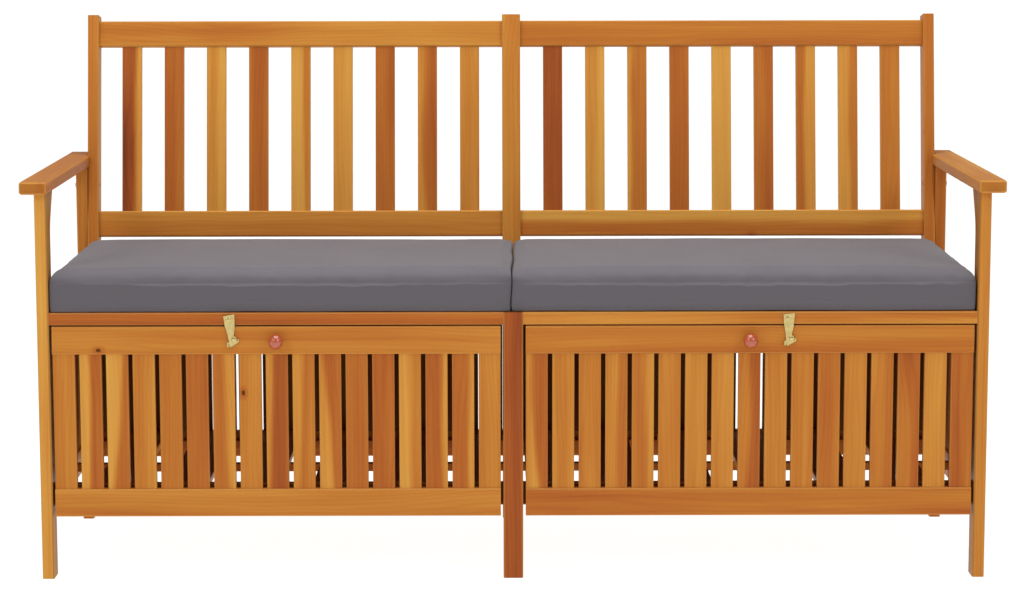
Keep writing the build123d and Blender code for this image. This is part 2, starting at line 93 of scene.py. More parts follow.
def faceOutwards(piece):
    enterEdit(piece)
    bpy.ops.mesh.remove_doubles(threshold=weld)
    bpy.ops.mesh.normals_make_consistent(inside=False)
    leaveEdit()


def apply(piece, kind, **settings):
    makeActive(piece)
    bpy.ops.object.modifier_add(type=kind)
    modifier = piece.modifiers[-1]
    for key, value in settings.items():
        setattr(modifier, key, value)
    bpy.ops.object.modifier_apply(modifier=modifier.name)


def copyNode(node, name):
    piece = bpy.data.objects.new(name, nodes[node].data.copy())
    bpy.context.scene.collection.objects.link(piece)
    enterEdit(piece)
    bpy.ops.mesh.remove_doubles(threshold=weld)
    leaveEdit()
    return piece


def joinInto(piece, others):
    deselectAll()
    for other in others:
        other.select_set(True)
    piece.select_set(True)
    bpy.context.view_layer.objects.active = piece
    bpy.ops.object.join()
    return piece


def dress(piece, material):
    piece.data.materials.clear()
    piece.data.materials.append(material)


class Wire:
    # a node's output, so that shader maths reads as Python
    def __init__(self, shade, socket):
        self.shade = shade
        self.socket = socket

    def out(self, name):
        return Wire(self.shade, self.socket.node.outputs[name])

    def math(self, operation, *values):
        return self.shade.add("Math", {"operation": operation}, dict(enumerate(values)))

    def __add__(self, other):
        return self.math("ADD", self, other)

    def __sub__(self, other):
        return self.math("SUBTRACT", self, other)

    def __rsub__(self, other):
        return self.math("SUBTRACT", other, self)

    def __mul__(self, other):
        return self.math("MULTIPLY", self, other)

    def __truediv__(self, other):
        return self.math("DIVIDE", self, other)

    def __pow__(self, other):
        return self.math("POWER", self, other)

    __radd__ = __add__
    __rmul__ = __mul__

    def __abs__(self):
        return self.math("ABSOLUTE", self)

    def floor(self):
        return self.math("FLOOR", self)

    def largest(self, other):
        return self.math("MAXIMUM", self, other)

    def smallest(self, other):
        return self.math("MINIMUM", self, other)

    def wave(self):
        return self.math("SINE", self)

    def step(self, low, high):  # 0 at low, 1 at high, smooth between
        return self.shade.add(
            "MapRange",
            {"interpolation_type": "SMOOTHSTEP"},
            {"Value": self, "From Min": low, "From Max": high},
        )


class Shade:
    # one material while its nodes are added
    def __init__(self, name):
        self.material = bpy.data.materials.new(name)
        self.material.use_nodes = True
        self.tree = self.material.node_tree
        self.tree.nodes.clear()
        self.coords = self.add("TexCoord", out="Object")
        self.facing = self.coords.out("Normal")

    def add(self, kind, settings=None, inputs=None, out=0):
        node = self.tree.nodes.new("ShaderNode" + kind)
        for key, value in (settings or {}).items():
            if key == "stops":
                self.fillRamp(node.color_ramp, value)
            elif key == "spread":
                node.color_ramp.interpolation = value
            else:
                setattr(node, key, value)
        for key, value in (inputs or {}).items():
            if isinstance(value, Wire):
                self.tree.links.new(value.socket, node.inputs[key])
            else:
                node.inputs[key].default_value = value
        return Wire(self, node.outputs[out]) if node.outputs else None

    def fillRamp(self, ramp, stops):
        while len(ramp.elements) < len(stops):
            ramp.elements.new(1.0)
        for element, (place, colour) in zip(ramp.elements, stops):
            element.position = place
            element.color = colour if len(colour) == 4 else (*colour, 1.0)

    def xyz(self, vector):
        split = self.add("SeparateXYZ", None, {0: vector})
        return [split.out(axis) for axis in "XYZ"]

    def stretched(self, place, scale):
        x, y, z = (part * size for part, size in zip(place, scale))
        return self.add("CombineXYZ", None, {"X": x, "Y": y, "Z": z})

    def grain(self, vector, scale, detail=2.0, rough=0.5):
        return self.add(
            "TexNoise", None, {"Vector": vector, "Scale": scale, "Detail": detail, "Roughness": rough}
        )

    def drawnGrain(self, place, scale, detail=2.0, rough=0.5):  # with a scale for each axis
        return self.grain(self.stretched(place, scale), 1.0, detail, rough)

    def blend(self, amount, low, high):  # of colours
        low, high = (c if isinstance(c, Wire) else (*c, 1.0) for c in (low, high))
        return self.add("Mix", {"data_type": "RGBA"}, {"Factor": amount, 6: low, 7: high}, out=2)

    def finish(self, fixed=None, height=None, bump=0.0, depth=0.001, **driven):
        inputs = dict(fixed or {})
        inputs.update({key.replace("_", " "): value for key, value in driven.items()})
        if height is not None:
            inputs["Normal"] = self.add(
                "Bump", None, {"Strength": bump, "Distance": depth, "Height": height}
            )
        surface = self.add("BsdfPrincipled", None, inputs)
        self.add("OutputMaterial", None, {"Surface": surface})
        return self.material


# oiled acacia

acacia = {
    "tones": (  # from honey sapwood to red heartwood
        (0.00, (0.690, 0.370, 0.074)),
        (0.25, (0.610, 0.268, 0.047)),
        (0.45, (0.510, 0.182, 0.029)),
        (0.65, (0.420, 0.115, 0.021)),
        (0.82, (0.315, 0.073, 0.017)),
        (1.00, (0.185, 0.038, 0.012)),
    ),
    "knot": (0.050, 0.013, 0.004),
    "endGrain": ((0.170, 0.058, 0.012), (0.270, 0.105, 0.022)),
    # pale colour of worn bevels, also used for the painted highlight along slat edges
    "wearAndHighlight": (0.700, 0.400, 0.110),
    "lockerShade": (0.012, 0.002, 0.0005),  # painted shade inside the lockers
    "inside": 0.35,  # how far the faces in there go to the painted shade
    "ends": 0.75,  # how far cut ends go to end grain
    "armEnds": 0.35,
    "driftScale": (2.0, 13.0, 13.0),  # along the grain, across it and into the board
    "bandScale": (1.5, 46.0, 30.0),
    "flameScale": (3.2, 17.0, 12.0),
    "fibreScale": (14.0, 900.0, 900.0),
    "poreScale": (55.0, 1500.0, 1500.0),
    "knotScale": (2.3, 10.0, 10.0),
    "ringsPerMetre": 150.0,
    "ringDrift": 9.0,
    "ringsRoundKnot": 1.6,
    "ringSharpness": 3.0,
    "ringMiddle": 0.3,
    "bandDetail": (3.0, 0.55),
    "bandTone": 0.52,  # how much each of these moves the tone
    "flameTone": 0.30,
    "ringTone": 0.050,
    "fibreTone": 0.070,
    "knotTone": 0.16,
    "poreTone": 0.06,
    "pores": (0.66, 0.74),
    "slant": 2.4,  # of the line between two tones of a board
    "wander": 1.5,
    "softness": 0.17,
    "seenKnot": {"length": 1.5, "reach": (0.6, 9.0), "eye": (0.25, 1.3), "dark": 0.85},
    "chanceKnot": {"share": (0.86, 0.90), "reach": (0.02, 0.34), "eye": (0.02, 0.065), "dark": 0.7},
    "boardShift": (7.0, 3.0),  # keeps the boards of a node unlike
    "nodeShift": (1.7, 0.31),
    "noiseShift": 0.37,
    "firstSeed": 3.3,
    "seedStep": 0.77,
    "endFacing": (0.80, 0.90),
    "flatFacing": (0.80, 0.93),
    # faces that look into a locker this squarely get the full painted shade
    "insideShadeFacing": (0.40, 0.70),
    # the pale edges of slats are a painted highlight
    "highlightedEdge": (0.88, 1.0),
    "bevelWear": (0.30, 0.10),  # with the bands, and everywhere
    "edgeHighlight": (0.35, 0.08),
    "endRings": 0.35,
    "endFibre": 0.3,
    "specular": 0.07,
    "roughness": 0.42,
    "fibreRoughness": 0.2,
    "endRoughness": 0.2,
    "relief": {"rings": 0.2, "fibre": 0.6, "pores": 0.8, "knot": 0.6},
    "bump": 0.20,
    "bumpDepth": 0.0004,
    "backLean": 9.5,
}


def placeInPiece(shade, name, wood):
    # coordinates, normals and box of a piece, turned upright where it leans with the back
    low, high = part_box(name)
    coords, facing = shade.coords, shade.facing
    if wood.get("leans"):
        lean = radians(acacia["backLean"])
        turn = {"Rotation": (lean, 0.0, 0.0)}
        coords = shade.add("Mapping", {"vector_type": "POINT"}, {"Vector": coords, **turn})
        facing = shade.add("Mapping", {"vector_type": "VECTOR"}, {"Vector": facing, **turn})
        spin = Matrix.Rotation(lean, 3, "X")
        foot, head = spin @ Vector((0.0, *low[1:])), spin @ Vector((0.0, *high[1:]))
        low, high = (low[0], foot.y, foot.z), (high[0], head.y, head.z)
    return shade.xyz(coords), shade.xyz(facing), low, high


def boardAt(shade, boards, slot, slotOverBoard, seed):
    # the board at a point: its four values, the place across it and a shift of its grain
    count = len(boards)
    if count == 1:
        return boards[0], (slot - 0.5) * 2.0, [seed * part for part in acacia["nodeShift"]]
    index = slot.floor().largest(0.0).smallest(count - 1.0)
    chance = shade.add(
        "TexWhiteNoise", {"noise_dimensions": "1D"}, {"W": index + (seed + acacia["noiseShift"])}
    )
    picked = shade.add(
        "ValToRGB",
        {"spread": "CONSTANT", "stops": [(i / count, board) for i, board in enumerate(boards)]},
        {"Fac": (index + 0.5) / count},
    )
    tones = shade.add("SeparateColor", None, {"Color": picked})
    board = [tones.out(channel) for channel in ("Red", "Green", "Blue")] + [picked.out("Alpha")]
    shift = [chance * part for part in acacia["boardShift"]]
    return board, (slot - index - 0.5) * (2.0 * slotOverBoard), shift


def knotsIn(shade, grain, seen):
    # eyes of knots, and the grain that bends round them, by chance and in known places
    kind = acacia["chanceKnot"]
    cells = {"Vector": shade.stretched(grain, acacia["knotScale"]), "Scale": 1.0}
    spots = shade.add("TexVoronoi", {"feature": "F1"}, cells)
    lucky = shade.add("SeparateColor", None, {"Color": spots.out("Color")}).step(*kind["share"])
    near = (1.0 - spots.step(*kind["reach"])) * lucky
    eye = (1.0 - spots.step(*kind["eye"])) * lucky * kind["dark"]
    if seen is not None:
        kind = acacia["seenKnot"]
        near = near.largest(1.0 - seen.step(*kind["reach"]))
        eye = eye.largest((1.0 - seen.step(*kind["eye"])) * kind["dark"])
    return near, eye


def timberMaterial(name, wood, seed):
    # wood["boards"] are (left tone, right tone, boundary, slant), one for each board across the piece
    shade = Shade(name + "_acacia")
    place, normal, low, high = placeInPiece(shade, name, wood)
    grainAxis, acrossAxis = wood["grain"], wood["across"]
    boards, gap = wood["boards"], wood.get("gap", 0.0)
    along, across, deep = place[grainAxis], place[acrossAxis], place[3 - grainAxis - acrossAxis]
    pitch = (high[acrossAxis] - low[acrossAxis] + gap) / len(boards)
    slot = (across - (low[acrossAxis] - gap / 2)) / pitch
    halfLength = (high[grainAxis] - low[grainAxis]) / 2
    upAlong = (along - (low[grainAxis] + high[grainAxis]) / 2) / halfLength
    seen = None
    for knotAlong, knotAcross, size in wood.get("knots", ()):
        knotLength = size * acacia["seenKnot"]["length"]
        away = ((along - knotAlong) / knotLength) ** 2.0 + ((across - knotAcross) / size) ** 2.0
        seen = away if seen is None else seen.smallest(away)
    board, fromMiddle, shift = boardAt(shade, boards, slot, pitch / (pitch - gap), seed)
    leftTone, rightTone, boundary, slant = board

    grain = (along + shift[0], across + shift[1], deep)
    nearKnot, knot = knotsIn(shade, grain, seen)
    drift = shade.drawnGrain(grain, acacia["driftScale"])
    bands = shade.drawnGrain(grain, acacia["bandScale"], *acacia["bandDetail"])
    flame = shade.drawnGrain(grain, acacia["flameScale"])
    fibre = shade.drawnGrain(grain, acacia["fibreScale"])
    pores = shade.drawnGrain(grain, acacia["poreScale"], 1.0).step(*acacia["pores"])
    turns = grain[1] * acacia["ringsPerMetre"] + drift * acacia["ringDrift"]
    rings = ((turns + nearKnot * acacia["ringsRoundKnot"]) * (2.0 * pi)).wave() * 0.5 + 0.5

    slope = (slant - 0.5) * acacia["slant"]
    heart = (fromMiddle + upAlong * slope + (flame - 0.5) * acacia["wander"]) * 0.5 + 0.5
    edge = (heart - boundary).step(-acacia["softness"], acacia["softness"])
    tone = edge * (rightTone - leftTone) + leftTone + (flame - 0.5) * acacia["flameTone"]
    sharpRings = rings ** acacia["ringSharpness"] - acacia["ringMiddle"]
    tone = tone + (bands - 0.5) * acacia["bandTone"] + sharpRings * acacia["ringTone"]
    tone = tone + (fibre - 0.5) * acacia["fibreTone"]
    tone = tone + nearKnot * acacia["knotTone"] + pores * acacia["poreTone"]
    colour = shade.add("ValToRGB", {"stops": acacia["tones"]}, {"Fac": tone})
    colour = shade.blend(knot, colour, acacia["knot"])

    # bevels are paler, cut ends darker, and painted shade darkens the faces inside a locker
    size = [abs(part) for part in normal]
    cutEnd = size[grainAxis].step(*acacia["endFacing"])
    flat = size[0].largest(size[1]).largest(size[2])
    patchy, even = acacia["bevelWear"]
    wearAndHighlight = (1.0 - flat.step(*acacia["flatFacing"])) * (bands * patchy + even)
    if len(boards) > 1:  # painted highlight: slats are paler along their rounded edges, patchy like the bevel wear
        patchy, even = acacia["edgeHighlight"]
        wearAndHighlight = wearAndHighlight.largest(abs(fromMiddle).step(*acacia["highlightedEdge"]) * (bands * patchy + even))
    colour = shade.blend(wearAndHighlight, colour, acacia["wearAndHighlight"])
    endFigure = rings * acacia["endRings"] + fibre * acacia["endFibre"]
    endGrain = shade.blend(endFigure, *acacia["endGrain"])
    colour = shade.blend(cutEnd * wood.get("ends", acacia["ends"]), colour, endGrain)
    # painted shade on the faces that look into a locker
    for axis, sign in wood.get("inside", ()):
        inside = (normal[axis] * sign).step(*acacia["insideShadeFacing"])
        colour = shade.blend(inside * wood.get("dim", acacia["inside"]), colour, acacia["lockerShade"])
    relief = acacia["relief"]
    raised = rings * relief["rings"] + fibre * relief["fibre"]
    rough = (fibre - 0.5) * acacia["fibreRoughness"] + cutEnd * acacia["endRoughness"]
    return shade.finish(
        {"Specular IOR Level": acacia["specular"]},
        height=raised - pores * relief["pores"] - knot * relief["knot"],
        bump=acacia["bump"],
        depth=acacia["bumpDepth"],
        Base_Color=colour,
        Roughness=rough + acacia["roughness"],
    )


def plain(tone):
    return (tone, tone, 0.5, 0.5)


# slatted nodes, board by board: (left tone, right tone, where they meet, slant of the meeting line)
timber = {
    "left_back_slats": {
        "grain": 2, "across": 0, "gap": 0.0381, "leans": True, "boards": (
            (0.72, 0.15, 0.74, 0.46), plain(0.62), (0.34, 0.26, 0.50, 0.50), plain(0.60),
            (0.18, 0.46, 0.66, 0.50), plain(0.22), plain(0.64), (0.30, 0.56, 0.36, 0.55), plain(0.36),
        ),
    },
    "right_back_slats": {
        "grain": 2, "across": 0, "gap": 0.0381, "leans": True, "boards": (
            plain(0.76), (0.30, 0.16, 0.56, 0.45), (0.22, 0.52, 0.24, 0.47), plain(0.66),
            plain(0.10), (0.52, 0.66, 0.50, 0.50), (0.60, 0.30, 0.45, 0.50), (0.20, 0.50, 0.60, 0.50),
            plain(0.50),
        ),
    },
    "left_door_slats": {
        "grain": 2, "across": 0, "gap": 0.007, "knots": ((0.287, -0.4095, 0.0030),), "boards": (
            plain(0.48), (0.20, 0.64, 0.40, 0.55), (0.22, 0.62, 0.48, 0.30), (0.46, 0.24, 0.86, 0.50),
            plain(0.54), plain(0.62), (0.50, 0.24, 0.66, 0.62), plain(0.42), (0.34, 0.70, 0.30, 0.45),
            (0.28, 0.56, 0.42, 0.35), (0.24, 0.62, 0.36, 0.68), plain(0.56), plain(0.66),
            (0.26, 0.44, 0.40, 0.56), (0.68, 0.30, 0.80, 0.50), (0.58, 0.22, 0.80, 0.50), plain(0.42),
        ),
    },
    "right_door_slats": {
        "grain": 2, "across": 0, "gap": 0.007, "boards": (
            (0.26, 0.66, 0.50, 0.62), plain(0.42), plain(0.46), (0.42, 0.56, 0.55, 0.42),
            (0.50, 0.34, 0.60, 0.60), plain(0.46), plain(0.40), plain(0.38), (0.48, 0.72, 0.44, 0.50),
            plain(0.44), plain(0.46), plain(0.50), plain(0.44), (0.40, 0.56, 0.60, 0.40),
            (0.48, 0.66, 0.55, 0.58), plain(0.40), (0.66, 0.58, 0.50, 0.60),
        ),
    },
    # "inside" lists the faces that look into a locker, which get painted shade
    "seat_slats": {
        "grain": 0, "across": 1, "gap": 0.010, "inside": ((2, -1.0),),
        "boards": [plain(0.35 + 0.35 * (i * 5 % 4) / 4) for i in range(8)],
    },
}
for side, inward in (("left", 1.0), ("right", -1.0)):  # boards that are hardly seen go by turns
    timber[side + "_rear_slats"] = {
        # "dim" is how deep the painted shade goes on these inner faces
        "grain": 2, "across": 0, "gap": 0.0045, "inside": ((1, -1.0),), "dim": 0.72,
        "boards": [plain(0.35 + 0.35 * (i * 7 % 5) / 5) for i in range(17)],
    }
    timber[side + "_side_slats"] = {
        "grain": 2, "across": 1, "gap": 0.00736, "inside": ((0, inward),), "boards": [
            (0.3 + 0.4 * (i * 3 % 5) / 5, 0.3 + 0.4 * (i * 4 % 7) / 7, 0.5, 0.45) for i in range(10)
        ],
    }
    timber[side + "_floor_slats"] = {
        "grain": 1, "across": 0, "gap": 0.050, "inside": ((2, 1.0),),
        "boards": [plain(0.4 + 0.3 * (i * 5 % 3) / 3) for i in range(6)],
    }

# single boards: grain axis, axis across, board
boards = {
    "left_back_top_rail": (0, 2, (0.36, 0.40, 0.50, 0.50)),
    "right_back_top_rail": (0, 2, (0.58, 0.44, 0.62, 0.52)),
    "left_back_bottom_rail": (0, 2, (0.44, 0.36, 0.50, 0.48)),
    "right_back_bottom_rail": (0, 2, (0.58, 0.20, 0.52, 0.50)),
    "left_seat_front_rail": (0, 2, (0.74, 0.66, 0.50, 0.50)),
    "right_seat_front_rail": (0, 2, (0.34, 0.44, 0.50, 0.50)),
    "left_door_top_rail": (0, 2, (0.42, 0.44, 0.50, 0.50)),
    "right_door_top_rail": (0, 2, (0.56, 0.50, 0.50, 0.50)),
    "left_door_bottom_rail": (0, 2, (0.46, 0.42, 0.50, 0.50)),
    "right_door_bottom_rail": (0, 2, (0.58, 0.52, 0.50, 0.50)),
    "left_front_leg": (2, 0, (0.16, 0.26, 0.50, 0.50)),
    "right_front_leg": (2, 0, (0.38, 0.42, 0.50, 0.50)),
    "middle_front_leg": (2, 0, (0.74, 0.78, 0.50, 0.50)),
    "left_rear_leg": (2, 0, (0.50, 0.54, 0.50, 0.50)),
    "right_rear_leg": (2, 0, (0.58, 0.52, 0.50, 0.50)),
    "middle_rear_leg": (2, 0, (0.60, 0.54, 0.50, 0.50)),
    "left_back_post": (2, 0, (0.46, 0.40, 0.50, 0.50)),
    "right_back_post": (2, 0, (0.58, 0.54, 0.50, 0.50)),
    "middle_back_post": (2, 0, (0.38, 0.44, 0.60, 0.50)),
    "left_armrest": (1, 0, (0.50, 0.54, 0.50, 0.50)),
    "right_armrest": (1, 0, (0.40, 0.36, 0.50, 0.50)),
    "floor_bearers": (0, 1, (0.60, 0.60, 0.50, 0.50)),
    "middle_seat_bearer": (1, 2, (0.55, 0.55, 0.50, 0.50)),
    "middle_lower_bearer": (1, 2, (0.60, 0.60, 0.50, 0.50)),
}
knots = {  # along, across, size
    "left_door_top_rail": ((-0.628, 0.353, 0.0030),),
    "right_back_bottom_rail": ((0.398, 0.500, 0.0035),),
}
shadedInsides = {  # axis and direction of the faces that look into a locker, which get painted shade
    "floor_bearers": ((1, 1.0), (1, -1.0)),
    "middle_lower_bearer": ((0, 1.0), (0, -1.0)),
    "left_front_leg": ((0, 1.0),),
    "right_front_leg": ((0, -1.0),),
}
for side in ("left", "right"):
    boards[side + "_rear_top_rail"] = (0, 2, (0.50, 0.56, 0.50, 0.50))
    boards[side + "_rear_bottom_rail"] = (0, 2, (0.58, 0.48, 0.50, 0.50))
    boards[side + "_front_lower_rail"] = (0, 2, (0.56, 0.60, 0.50, 0.50))
    boards[side + "_side_lower_rail"] = (1, 2, (0.46, 0.54, 0.50, 0.50))
    boards[side + "_side_seat_rail"] = (1, 2, (0.54, 0.48, 0.50, 0.50))
    for name in ("_rear_top_rail", "_rear_bottom_rail"):
        shadedInsides[side + name] = ((1, -1.0),)
    shadedInsides[side + "_front_lower_rail"] = ((1, 1.0), (1, -1.0))
for name, (grainAxis, acrossAxis, board) in boards.items():
    timber[name] = {
        "grain": grainAxis,
        "across": acrossAxis,
        "boards": (board,),
        "leans": "back" in name,
        "knots": knots.get(name, ()),
        "inside": shadedInsides.get(name, ()),
        "ends": acacia["armEnds" if "arm" in name else "ends"],
    }
for number, (name, wood) in enumerate(timber.items()):
    seed = acacia["firstSeed"] + number * acacia["seedStep"]
    dress(nodes[name], timberMaterial(name, wood, seed))
print("timber dressed:", len(timber), "nodes")


# metal

metals = {
    "brass": {
        "pale": (0.640, 0.510, 0.215),
        "dark": (0.430, 0.320, 0.110),
        "roughness": 0.20,
        "scratch": 0.05,
    },
    "zinc": {
        "pale": (0.560, 0.540, 0.500),
        "dark": (0.360, 0.350, 0.330),
        "roughness": 0.28,
        "scratch": 0.08,
    },
}
plating = {
    "cloudScale": 160.0,
    "cloudDetail": 3.0,
    "clouds": (0.3, 0.7),
    "cloudTone": 0.35,
    "cloudRoughness": 0.12,
    "stainScale": 420.0,
    "stains": (0.55, 0.75),
    "stainTone": 0.10,
    "stainRoughness": 0.06,
    "stainDark": 0.6,  # of the dark colour
    "rubScale": (1500.0, 900.0, 240.0),
    "rubDepth": 0.0001,
}


def metalMaterial(name, pale, dark, roughness, scratch):
    shade = Shade(name)
    cloud = shade.grain(shade.coords, plating["cloudScale"], plating["cloudDetail"])
    rub = shade.drawnGrain(shade.xyz(shade.coords), plating["rubScale"])
    stain = shade.grain(shade.coords, plating["stainScale"]).step(*plating["stains"])
    stained = tuple(plating["stainDark"] * part for part in dark)
    colour = shade.blend(cloud.step(*plating["clouds"]) * plating["cloudTone"], pale, dark)
    colour = shade.blend(stain * plating["stainTone"], colour, stained)
    dull = cloud * plating["cloudRoughness"] + stain * plating["stainRoughness"]
    return shade.finish(
        {"Metallic": 1.0},
        height=rub,
        bump=scratch,
        depth=plating["rubDepth"],
        Base_Color=colour,
        Roughness=dull + roughness,
    )


brass = metalMaterial("plated_brass", **metals["brass"])
zinc = metalMaterial("zinc_plate", **metals["zinc"])
dress(nodes["catch_pegs"], brass)
for name in ("frame_hinge_leaves", "left_door_hinge_leaves", "right_door_hinge_leaves", "hinge_pins"):
    dress(nodes[name], zinc)
print("metal ready")


# turned pieces

lathe = {
    "sides": 40,
    "tip": 0.0002,  # radius of the last ring, which is merged to a point
    "near": 0.00001,
    "smoothUnder": 35.0,
}


def turned(name, foot, outward, rings, sides=lathe["sides"]):
    # rings are (height over the foot, radius)
    deselectAll()
    firstHeight, firstRadius = rings[0]
    bpy.ops.mesh.primitive_circle_add(
        vertices=sides,
        radius=firstRadius,
        location=foot + outward * firstHeight,
        rotation=outward.to_track_quat("Z", "Y").to_euler(),
    )
    piece = bpy.context.object
    piece.name = name
    bpy.ops.object.transform_apply(location=True, rotation=True, scale=True)
    enterEdit(piece)
    for (lastHeight, lastRadius), (height, radius) in zip(rings, rings[1:]):
        bpy.ops.mesh.extrude_region_move(
            TRANSFORM_OT_translate={"value": outward * (height - lastHeight)}
        )
        grow = radius / lastRadius
        bpy.ops.transform.resize(value=(grow, grow, grow), center_override=foot + outward * height)
    bpy.ops.mesh.merge(type="CENTER")
    leaveEdit()
    pick(piece, lambda co: abs((co - foot).dot(outward) - firstHeight) < lathe["near"])
    bpy.ops.mesh.edge_face_add()
    leaveEdit()
    faceOutwards(piece)
    makeActive(piece)
    bpy.ops.object.shade_smooth_by_angle(angle=radians(lathe["smoothUnder"]))
    return piece


# ball knobs on the doors

knob = {
    "ball": 0.0115,
    "neck": ((0.0, 0.0062), (0.0007, 0.0068), (0.0014, 0.0068), (0.0021, 0.0060), (0.0032, 0.0056)),
    "fromTurn": 34.0,  # where the ball leaves its neck, in degrees
    "stepTurn": 8.0,
    "lastTurn": 179.0,
    "sides": 48,
    "pale": (0.470, 0.082, 0.026),
    "dark": (0.300, 0.040, 0.014),
    "streakScale": (320.0, 60.0, 320.0),
    "streaks": (0.3, 0.7),
    "streakTone": 0.35,
    "streakRoughness": 0.12,
    "roughness": 0.12,
    "coat": 1.0,
    "coatRoughness": 0.05,
    "bump": 0.03,
    "bumpDepth": 0.0002,
}


def lacquerMaterial():
    shade = Shade("knob_lacquer")
    streak = shade.drawnGrain(shade.xyz(shade.coords), knob["streakScale"])
    dark = streak.step(*knob["streaks"]) * knob["streakTone"]
    return shade.finish(
        {"Coat Weight": knob["coat"], "Coat Roughness": knob["coatRoughness"]},
        height=streak,
        bump=knob["bump"],
        depth=knob["bumpDepth"],
        Base_Color=shade.blend(dark, knob["pale"], knob["dark"]),
        Roughness=streak * knob["streakRoughness"] + knob["roughness"],
    )


redLacquer = lacquerMaterial()
forward = Vector((0.0, -1.0, 0.0))
for side in ("left", "right"):
    low, high = (Vector(corner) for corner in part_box(side + "_door_knob"))
    foot = Vector(((low.x + high.x) / 2, high.y, (low.z + high.z) / 2))
    reach = high.y - low.y
    rings = list(knob["neck"])
    turn = knob["fromTurn"]
    while turn < knob["lastTurn"]:
        height = reach - knob["ball"] - knob["ball"] * cos(radians(turn))
        rings.append((height, knob["ball"] * sin(radians(turn))))
        turn += knob["stepTurn"]
    rings.append((reach, lathe["tip"]))
    ball = turned(side + "_ball_knob", foot, forward, rings, knob["sides"])
    dress(ball, redLacquer)
    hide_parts(side + "_door_knob")
    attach(ball, side + "_door")
print("knobs turned")


# round bolt heads on the legs

bolts = {
    "legFace": 0.720,
    "places": ((0.19906, 0.400), (0.21245, 0.560), (-0.22950, 0.117)),  # depth and height
    "shank": ((-0.0339, 0.0035), (-0.0001, 0.0035)),
    "head": (
        (0.0, 0.0062), (0.0004, 0.0065), (0.0012, 0.0065), (0.0021, 0.0060), (0.0030, 0.0051),
        (0.0036, 0.0040), (0.0040, 0.0030), (0.0040, 0.0022), (0.0022, 0.0020), (0.0020, lathe["tip"]),
    ),
    "sides": 30,
}
heads = []
for sign in (-1.0, 1.0):
    for depth, height in bolts["places"]:
        foot = Vector((sign * bolts["legFace"], depth, height))
        outward = Vector((sign, 0.0, 0.0))
        heads.append(turned("bolt", foot, outward, bolts["shank"] + bolts["head"], bolts["sides"]))
legBolts = joinInto(heads[0], heads[1:])
legBolts.name = "round_leg_bolts"
dress(legBolts, zinc)
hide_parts("leg_bolts")
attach(legBolts, "frame")
print("bolts turned")


# hook latches: softened plates with a dome over the peg, and round-headed screws

latch = {
    "edge": 0.00035,
    "flatWithin": 1.0,  # degrees between faces that are made one
    "edgeOver": 40.0,  # degrees between faces whose edge is softened
    "pegUp": 0.0307,  # dome from the pivot, along the hook
    "pegAcross": -0.00613,
    "tilt": {"left": 5.6, "right": 0.0},
    "domeFoot": 0.0024,  # in front of the plate's rear
    "dome": (
        (0.0, 0.0036), (0.0009, 0.0036), (0.0013, 0.0030), (0.0016, 0.0020), (0.0017, lathe["tip"]),
    ),
    "head": (
        (0.0, 0.0040), (0.0005, 0.0044), (0.0013, 0.0043), (0.0020, 0.0037), (0.0024, 0.0027),
        (0.0026, lathe["tip"]),
    ),
    "headHeight": 0.0026,
    "shank": 0.0020,
}
for side in ("left", "right"):
    screwLow, screwHigh = (Vector(corner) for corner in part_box(side + "_latch_screw"))
    pivot = Vector(((screwLow.x + screwHigh.x) / 2, screwLow.y, (screwLow.z + screwHigh.z) / 2))
    plate = copyNode(side + "_latch_hook", side + "_latch_plate")
    enterEdit(plate)
    bpy.ops.mesh.dissolve_limited(angle_limit=radians(latch["flatWithin"]))
    leaveEdit()
    apply(
        plate, "BEVEL", width=latch["edge"], segments=2, limit_method="ANGLE",
        angle_limit=radians(latch["edgeOver"]),
    )
    lean = Matrix.Rotation(radians(-latch["tilt"][side]), 3, "Y")
    domeFoot = pivot + lean @ Vector((latch["pegAcross"], 0.0, latch["pegUp"]))
    domeFoot.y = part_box(side + "_latch_hook")[1][1] - latch["domeFoot"]
    makeActive(plate)
    bpy.ops.object.shade_flat()
    plate = joinInto(plate, [turned("dome", domeFoot, forward, latch["dome"])])
    dress(plate, brass)
    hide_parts(side + "_latch_hook")
    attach(plate, side + "_latch")

    headFoot = pivot + Vector((0.0, latch["headHeight"], 0.0))
    shank = ((headFoot.y - screwHigh.y, latch["shank"]), (-lathe["near"], latch["shank"]))
    screw = turned(side + "_round_screw", headFoot, forward, shank + latch["head"])
    dress(screw, brass)
    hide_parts(side + "_latch_screw")
    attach(screw, side + "_door")
print("latches made")


# seat pads

pad = {
    "top": 0.0622,  # over the seat
    "crown": 0.0025,
    "outerCorner": 0.040,
    "innerCorner": 0.020,
    "shoulder": 0.0165,  # rounding of the front, rear and outer top edges
    "edge": 0.004,  # rounding of the inner one
    "foot": 0.0020,
    "segments": {"corner": 7, "edge": 3, "foot": 2},
    "outerReach": 0.0006,  # past the plain pad, towards the legs
    "innerReach": 0.0008,
    "near": 0.001,
    "voxel": 0.005,
    "pressure": 4.0,
    "frames": 10,
    "swell": 0.0035,  # furthest that the filling moves a point out
    "sink": 0.0008,  # and in
    "pucker": 0.0026,  # creases along the edges
    "puckerSize": 0.026,
    "puckerTurn": (0.6, 0.45),  # upward part of the normals there, and how far it may differ
    "wave": 0.0026,  # slow unevenness of the filling
    "waveSize": 0.16,
    "seamDepth": 0.0004,
    "seamWidth": 0.0022,
    "sway": 0.0035,  # how far the joint between the pads wanders
    "swayWidth": 0.045,
    "swayRear": (0.17, 0.43),  # rear end of the joint in y, and its run to the front
    "swayTop": (0.477, 0.067),  # upper end of the joint in z, and its run to the seat
    "swayShare": (0.6, 0.4),  # of the way along the joint: top, and front wall
    "swayBend": (0.8, 1.1 * pi),  # size and turns of the slow bend
    "swayRipple": (0.2, 19.0),
    "proudTop": 0.003,  # furthest past the plain pad
    "proudFront": 0.002,
    "fill": 0.8,
}
